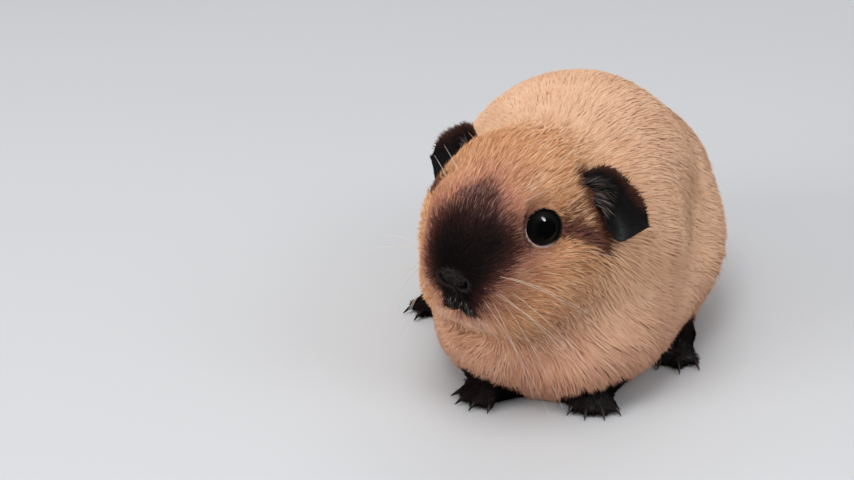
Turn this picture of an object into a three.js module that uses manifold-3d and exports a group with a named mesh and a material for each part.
// A life-size guinea pig with a short smooth coat, crouched on its four feet with its head turned to its right.
// Millimetres, +Z up. The animal faces -Y and its left side is +X. The outline is that of the coat.
// Each part of the body is cut from one soft shape, so neighbouring parts meet in the same surface.
import * as THREE from "three";
import { mergeVertices } from "three/addons/utils/BufferGeometryUtils.js";
import Module from "manifold-3d";

// ---------------------------------------------------------------- driving dimensions
const TRUNK_WIDTH = 98;
const BACK_HEIGHT = 86;
const BELLY_CLEARANCE = 4;
const RUMP_Y = 96;
const EYE_SPACING = 30.6;
const EYE_RADIUS = 6.6;
const NOSE_REACH = 28.5;
const EAR_THICKNESS = 1.6;
const HEAD_AT = [-12, -61, 67.5];
const HEAD_TURN = 21.5;
const HEAD_ROLL = 5;
const GAP = 0.3;

const rad = THREE.MathUtils.degToRad;
const SIDES = [
  { name: "left", sign: 1 },
  { name: "right", sign: -1 },
];
/** A shape at +X and its mirror image at -X. */
const paired = (make) => SIDES.map(({ sign }) => make(sign));

// ---------------------------------------------------------------- solids by booleans
const wasm = await Module();
wasm.setup();

/** A closed three.js geometry as a manifold solid. */
function solidOf(geometry) {
  const bare = geometry.clone();
  bare.deleteAttribute("normal");
  bare.deleteAttribute("uv");
  const merged = mergeVertices(bare, 1e-4);
  return new wasm.Manifold(
    new wasm.Mesh({
      numProp: 3,
      vertProperties: new Float32Array(merged.attributes.position.array),
      triVerts: new Uint32Array(merged.index.array),
    }),
  );
}

/** A manifold solid as a three.js geometry. */
function geometryOf(solid) {
  const mesh = solid.getMesh();
  const geometry = new THREE.BufferGeometry();
  geometry.setAttribute("position", new THREE.BufferAttribute(mesh.vertProperties, 3));
  geometry.setIndex(new THREE.BufferAttribute(mesh.triVerts, 1));
  geometry.computeVertexNormals();
  return geometry;
}

// ---------------------------------------------------------------- soft shapes as distance fields
// A field takes a point and gives its rough distance to a surface: negative inside.

/** An ellipsoid, optionally tipped by tilt degrees about the X axis, which raises its rear end. */
function ellipsoid([cx, cy, cz], [rx, ry, rz], tilt = 0) {
  const cos = Math.cos(rad(tilt));
  const sin = Math.sin(rad(tilt));
  return (x, y, z) => {
    const dx = x - cx;
    const dy = (y - cy) * cos + (z - cz) * sin;
    const dz = (z - cz) * cos - (y - cy) * sin;
    const k0 = Math.hypot(dx / rx, dy / ry, dz / rz);
    const k1 = Math.hypot(dx / rx ** 2, dy / ry ** 2, dz / rz ** 2);
    return k1 < 1e-9 ? -Math.min(rx, ry, rz) : (k0 * (k0 - 1)) / k1;
  };
}

/** A limb from a to b, tapering from radius ra to rb. */
function limb(a, ra, b, rb) {
  const axis = [b[0] - a[0], b[1] - a[1], b[2] - a[2]];
  const length2 = axis[0] ** 2 + axis[1] ** 2 + axis[2] ** 2;
  return (x, y, z) => {
    const along = ((x - a[0]) * axis[0] + (y - a[1]) * axis[1] + (z - a[2]) * axis[2]) / length2;
    const t = Math.min(1, Math.max(0, along));
    const away = Math.hypot(x - a[0] - t * axis[0], y - a[1] - t * axis[1], z - a[2] - t * axis[2]);
    return away - ra - t * (rb - ra);
  };
}

/** The union of fields, with a fillet of about k between them. */
function blend(k, ...fields) {
  return (x, y, z) => {
    let d = fields[0](x, y, z);
    for (let i = 1; i < fields.length; i++) {
      const e = fields[i](x, y, z);
      const h = Math.max(k - Math.abs(d - e), 0) / k;
      d = Math.min(d, e) - (h * h * k) / 4;
    }
    return d;
  };
}

/** The field of a shape that is modelled in its own frame and then placed by matrix. */
function placed(matrix, field) {
  const m = matrix.clone().invert().elements;
  return (x, y, z) =>
    field(
      m[0] * x + m[4] * y + m[8] * z + m[12],
      m[1] * x + m[5] * y + m[9] * z + m[13],
      m[2] * x + m[6] * y + m[10] * z + m[14],
    );
}

/** A frame at a point, turned by yaw degrees about +Z. */
function frameAt([x, y, z], yaw) {
  return new THREE.Matrix4().makeRotationZ(rad(yaw)).setPosition(x, y, z);
}

// ---------------------------------------------------------------- trunk, neck and head
const halfWidth = TRUNK_WIDTH / 2;
const midHeight = (BACK_HEIGHT + BELLY_CLEARANCE) / 2;
const halfHeight = (BACK_HEIGHT - BELLY_CLEARANCE) / 2;

const trunkField = blend(
  10,
  ellipsoid([0, 12, midHeight], [halfWidth - 6, 60, halfHeight + 1]),
  ellipsoid([1, RUMP_Y - 42, 35.5], [halfWidth - 4, 42, 34.5]),
  ellipsoid([1, -26, 45], [halfWidth - 7, 38, 38]),
  ellipsoid([0.5, -47, 16.5], [32, 25, 15.5]),
  ...paired((s) => ellipsoid([s * 17, -53, 14.5], [14, 16, 12])),
  ellipsoid([2.5, -54, 8.6], [16, 15, 8.2]),
  ellipsoid([3, 10, 23], [halfWidth + 1, 66, 20]),
);

const neckField = limb([-2, -20, 53], 32, [-10, -48, 60], 24);

/** The head's frame: its origin is midway between the ears and the nose, and the nose points to -Y. */
const headFrame = new THREE.Matrix4()
  .makeRotationZ(rad(-HEAD_TURN))
  .multiply(new THREE.Matrix4().makeRotationY(rad(HEAD_ROLL)))
  .setPosition(...HEAD_AT);
const EYE_AT = [EYE_SPACING / 2, -3.4, -1.7];
const skull = blend(
  6,
  ellipsoid([0, 13, 0], [23.5, 27, 20]),
  ellipsoid([0, -1, -3], [20.5, NOSE_REACH - 1.5, 17], 18),
  ...paired((s) => ellipsoid([s * 9.5, -13, 2], [7.5, 8, 8])),
  ...paired((s) => ellipsoid([s * 15, 8, -15], [16, 20, 20])),
  ...paired((s) => ellipsoid([s * 11.5, -4, -28], [12, 14, 13.5])),
  ellipsoid([0, 8, -26], [23, 21, 17]),
);
const muzzle = blend(
  4,
  ...paired((s) => ellipsoid([s * 7.5, 12 - NOSE_REACH, -16], [9, 10.5, 9.5])),
  ellipsoid([0, 17.5 - NOSE_REACH, -27.5], [9.5, 11.5, 9]),
);
const headField = placed(headFrame, blend(8, skull, muzzle));

// ---------------------------------------------------------------- feet
const FOREFOOT = {
  toes: 4,
  spread: 66,
  toeLength: 9.5,
  toeRadius: 2.5,
  ball: [8, 8, 8],
  clawLength: 4.2,
};
const HINDFOOT = {
  toes: 3,
  spread: 40,
  toeLength: 13,
  toeRadius: 2.9,
  ball: [8, 9, 7.5],
  heel: 34,
  clawLength: 5.4,
};

/** Root, knuckle and tip of each toe, fanned about the middle of the foot. */
function toeBones({ toes, spread, toeLength, toeRadius, ball }) {
  return Array.from({ length: toes }, (_, i) => {
    const place = i / (toes - 1) - 0.5;
    const turn = rad(spread * place);
    const start = ball[1] * 0.45;
    const length = toeLength * (1 - 0.3 * Math.abs(place));
    const at = (r, z) => [Math.sin(turn) * r, -Math.cos(turn) * r, z];
    return {
      turn,
      root: at(start, toeRadius * 1.7),
      knuckle: at(start + length * 0.5, toeRadius * 1.5),
      tip: at(start + length, toeRadius * 0.75),
    };
  });
}

/** A foot in its own frame: toes towards -Y, sole at z 0, the ball of the foot over the origin. */
function footField(kind) {
  const { ball, heel, toeRadius } = kind;
  const parts = [ellipsoid([0, 0, ball[2] * 0.75], ball)];
  if (heel) parts.push(limb([0, 2, 6], 6.4, [0, heel, 7], 6.6));
  for (const { root, knuckle, tip } of toeBones(kind)) {
    parts.push(blend(2, limb(root, toeRadius, knuckle, toeRadius), limb(knuckle, toeRadius, tip, toeRadius * 0.8)));
  }
  return blend(2, ...parts);
}

/** Where each foot stands, with its toes turned towards +X by turn degrees. */
const feet = [
  { name: "forefoot_left", kind: FOREFOOT, at: [17, -55, 0], turn: 11 },
  { name: "forefoot_right", kind: FOREFOOT, at: [-13, -58, 0], turn: -36 },
  { name: "hindfoot_left", kind: HINDFOOT, at: [39, -10, 0], turn: 11 },
  { name: "hindfoot_right", kind: HINDFOOT, at: [-43, 12, 0], turn: -24 },
].map((foot) => {
  const frame = frameAt(foot.at, foot.turn);
  return { ...foot, frame, field: placed(frame, footField(foot.kind)) };
});
const forefeet = feet.filter(({ kind }) => kind === FOREFOOT);
const hindfeet = feet.filter(({ kind }) => kind === HINDFOOT);

// ---------------------------------------------------------------- legs and the whole outline
const haunches = paired((s) => ellipsoid([s * 31, 32, 25], [21, 31, 24]));
const knees = paired((s) => ellipsoid([s * 34, 4, 17], [13, 22, 14]));
const elbows = paired((s) => ellipsoid([s * 27, -32, 17], [15, 24, 14]));

const torsoField = blend(4, blend(8, trunkField, ...haunches, ...knees, ...elbows), blend(8, neckField, headField));
const hindquarterField = blend(3, torsoField, ...hindfeet.map(({ field }) => field));

// ---------------------------------------------------------------- parting the body
/** The region above a level (side 1) or below it (side -1). */
function level(height, side) {
  const SIZE = 600;
  return {
    field: (x, y, z) => side * (height - z),
    solid: () => solidOf(new THREE.BoxGeometry(SIZE, SIZE, SIZE).translate(0, 0, height + (side * SIZE) / 2)),
  };
}

/** The region inside an ellipsoid, turned by yaw degrees. */
function roundRegion(centre, radii, yaw = 0) {
  const DETAIL = 2;
  const frame = frameAt(centre, yaw);
  return {
    field: placed(frame, ellipsoid([0, 0, 0], radii)),
    solid: (grow = 0) => {
      const ball = new THREE.IcosahedronGeometry(1, DETAIL);
      return solidOf(ball.scale(...radii.map((r) => r + grow)).applyMatrix4(frame));
    },
  };
}

/**
 * Shrink-wraps a ball of triangles on a field inside a region. Each corner moves out along its ray from the centre to
 * the first place where the field ends, or where the region has ended by a little more than the later cut needs.
 */
function wrap(field, region, centre, detail) {
  const STEP = 1;
  const MARGIN = 3;
  const FARTHEST = 160;
  const HALVINGS = 12;
  const inside = (x, y, z) => field(x, y, z) < 0 && (!region || region.field(x, y, z) < MARGIN);
  const ball = new THREE.IcosahedronGeometry(1, detail);
  const position = ball.attributes.position;
  const ray = new THREE.Vector3();
  for (let i = 0; i < position.count; i++) {
    ray.fromBufferAttribute(position, i).normalize();
    const at = (t) => [centre[0] + ray.x * t, centre[1] + ray.y * t, centre[2] + ray.z * t];
    let far = STEP;
    while (far < FARTHEST && inside(...at(far))) far += STEP;
    let near = far - STEP;
    for (let halving = 0; halving < HALVINGS; halving++) {
      const middle = (near + far) / 2;
      if (inside(...at(middle))) near = middle;
      else far = middle;
    }
    position.setXYZ(i, ...at(near));
  }
  return solidOf(ball);
}

const aboveFloor = level(0, 1).solid();

/** A forelimb's foot and leg, which meet at the wrist. The leg goes up into the chest, where it cuts its own hole. */
function forelimb({ name, at: [x, y], field: foot }) {
  const WRIST = 9;
  const field = blend(3, foot, limb([x * 1.1, -43, 18], 10, [x, y + 2, WRIST + 1], 7.5));
  const grown = (...point) => field(...point) - GAP;
  const pieces = [
    { name, region: level(WRIST, -1), centre: [x, y, 5], detail: 3 },
    { name: name.replace("foot", "leg"), region: level(WRIST + GAP, 1), centre: [x * 1.05, -47, 16], detail: 2 },
  ];
  return pieces.map((part) => ({ ...part, field, cutter: wrap(grown, part.region, part.centre, part.detail) }));
}

/** A hind foot, with the underside of the leg that lies on its heel. */
function hindfoot({ name, at: [x, y], turn }) {
  const MIDDLE = 7;
  const centre = [x - Math.sin(rad(turn)) * MIDDLE, y + Math.cos(rad(turn)) * MIDDLE, 0];
  const region = roundRegion(centre, [14, 38, 11], turn);
  return { name, region, field: hindquarterField, centre: [x, y, 5], detail: 3 };
}

/** The parts in order: each takes its region's share of its field, less what the parts before it took. */
const parts = [
  ...forefeet.flatMap(forelimb),
  ...hindfeet.map(hindfoot),
  ...SIDES.map(({ name, sign }) => ({
    name: `hindleg_${name}`,
    region: roundRegion([sign * 40, 28, 20], [26, 40, 32]),
    field: hindquarterField,
    centre: [sign * 37, 28, 26],
    detail: 3,
  })),
  {
    name: "head",
    region: roundRegion([-15, -65, 60], [40, 38, 36], -HEAD_TURN),
    field: torsoField,
    centre: [-17, -70, 56],
    detail: 7,
  },
  {
    name: "neck",
    region: roundRegion([-6, -46, 58], [52, 25, 38], -HEAD_TURN / 2),
    field: torsoField,
    centre: [-7, -46, 58],
    detail: 3,
  },
  { name: "trunk", field: torsoField, centre: [0, 10, 44], detail: 5 },
];

/** Every part of the body by name. */
function partedBody() {
  const solids = new Map();
  const cutters = [];
  for (const { name, region, field, centre, detail, cutter } of parts) {
    let solid = wrap(field, region, centre, detail).intersect(aboveFloor);
    if (region) solid = solid.intersect(region.solid());
    for (const other of cutters) solid = solid.subtract(other);
    if (region) cutters.push(cutter ?? region.solid(GAP));
    solids.set(name, solid);
  }
  return solids;
}

// ---------------------------------------------------------------- eyes, ears and claws
/** A ball in the head's frame that sits by some distance outside the middle of an eye, along its gaze. */
function eyeBall(sign, radius, outside = 0, detail = 2) {
  const GAZE = new THREE.Vector3(0.8, -0.53, 0.28).normalize();
  const at = new THREE.Vector3(...EYE_AT).addScaledVector(GAZE, outside);
  return solidOf(new THREE.IcosahedronGeometry(radius, detail).translate(sign * at.x, at.y, at.z));
}

/** What the head gives way to for an eye: the eyeball's socket and the round opening between the lids. */
const eyeSpace = (sign) => eyeBall(sign, EYE_RADIUS + GAP).add(eyeBall(sign, EYE_RADIUS, EYE_RADIUS - 0.4, 1));

/**
 * The pinna in the head's frame: a thin petal between an upper rim and a lower margin, both of which start at the
 * root. Its middle is set back from them, so that it is hollow towards the front.
 */
const EAR_RIM = [[16, 12, 11], [24.5, 18.2, 14.3], [33, 21, 9], [38.5, 21.7, 3], [41.2, 21.6, -1.2]];
const EAR_MARGIN = [[16, 10, 4], [27, 13.8, 1.5], [30.3, 13.8, -3.5], [34.5, 14.8, -7.4], [40.4, 20.4, -3.2]];
const EAR_HOLLOW = 3;

function pinna(sign) {
  const [rim, margin] = [EAR_RIM, EAR_MARGIN].map(
    (points) => new THREE.CatmullRomCurve3(points.map((point) => new THREE.Vector3(...point))),
  );
  const facing = new THREE.Vector3(0.5, -0.8, 0.35).normalize();
  const petal = new THREE.SphereGeometry(1, 10, 8).rotateZ(-Math.PI / 2);
  const position = petal.attributes.position;
  for (let i = 0; i < position.count; i++) {
    const u = (position.getX(i) + 1) / 2;
    const v = position.getY(i) * Math.sqrt(1 + position.getX(i) ** 2);
    const depth = EAR_HOLLOW * (v * v - 1) * Math.sin(Math.PI * u) + (position.getZ(i) * EAR_THICKNESS) / 2;
    const point = margin.getPoint(u).lerp(rim.getPoint(u), (1 + v) / 2).addScaledVector(facing, depth);
    position.setXYZ(i, sign * point.x, point.y, point.z);
  }
  return solidOf(sign < 0 ? flipped(petal) : petal);
}

/** The same geometry with every triangle's winding turned round, for a mirrored shape. */
function flipped(geometry) {
  const index = geometry.index;
  for (let i = 0; i < index.count; i += 3) {
    const first = index.getX(i);
    index.setX(i, index.getX(i + 1));
    index.setX(i + 1, first);
  }
  return geometry;
}

/** A claw in its foot's frame: a tapering horn that grows out of the toe's tip and curves down to the floor. */
function claw({ clawLength }, { turn, tip }, grow) {
  const ROOT = 2;
  const TIP_HEIGHT = 0.6;
  const horn = new THREE.CylinderGeometry(0.4 + grow, 1.3 + grow, clawLength + ROOT, 5, 2);
  horn.translate(0, (clawLength - ROOT) / 2, 0).rotateX(Math.PI);
  const position = horn.attributes.position;
  for (let i = 0; i < position.count; i++) {
    const t = Math.max(0, -position.getY(i) / clawLength);
    position.setZ(i, position.getZ(i) - (tip[2] - TIP_HEIGHT) * t * t);
  }
  return horn.rotateZ(turn).translate(...tip);
}

// ---------------------------------------------------------------- assembly
const FINISH = {
  buff: { color: 0xc99a6c, roughness: 0.85, metalness: 0 },
  brown: { color: 0x2b1c17, roughness: 0.8, metalness: 0 },
  skin: { color: 0x1b1918, roughness: 0.55, metalness: 0 },
  eye: { color: 0x050405, roughness: 0.08, metalness: 0 },
  horn: { color: 0x2a2624, roughness: 0.4, metalness: 0 },
};

function mesh(name, solid, finish) {
  const part = new THREE.Mesh(geometryOf(solid), new THREE.MeshStandardMaterial(FINISH[finish]));
  part.name = name;
  return part;
}

const animal = new THREE.Group();
const headGroup = new THREE.Group();
headGroup.applyMatrix4(headFrame);
animal.add(headGroup);

const body = partedBody();
const intoHead = headFrame.clone().invert();
let head = body.get("head").transform(intoHead.elements);
for (const { name, sign } of SIDES) {
  const ear = pinna(sign).subtract(head.translate(sign * GAP, 0, GAP));
  head = head.subtract(eyeSpace(sign));
  headGroup.add(mesh(`eye_${name}`, eyeBall(sign, EYE_RADIUS), "eye"));
  headGroup.add(mesh(`ear_${name}`, ear, "skin"));
}
headGroup.add(mesh("head", head, "buff"));
body.delete("head");

for (const { name, kind, frame } of feet) {
  const footGroup = new THREE.Group();
  footGroup.applyMatrix4(frame);
  animal.add(footGroup);
  let foot = body.get(name).transform(frame.clone().invert().elements);
  toeBones(kind).forEach((toe, i) => {
    foot = foot.subtract(solidOf(claw(kind, toe, GAP)));
    footGroup.add(mesh(`claw_${name}_${i + 1}`, solidOf(claw(kind, toe, 0)), "horn"));
  });
  footGroup.add(mesh(name, foot, "brown"));
  body.delete(name);
}
for (const [name, solid] of body) animal.add(mesh(name, solid, "buff"));

// The origin is on the floor, under the middle of the animal.
const middle = new THREE.Box3().setFromObject(animal, true).getCenter(new THREE.Vector3());
animal.position.set(-middle.x, -middle.y, 0);

export default animal;
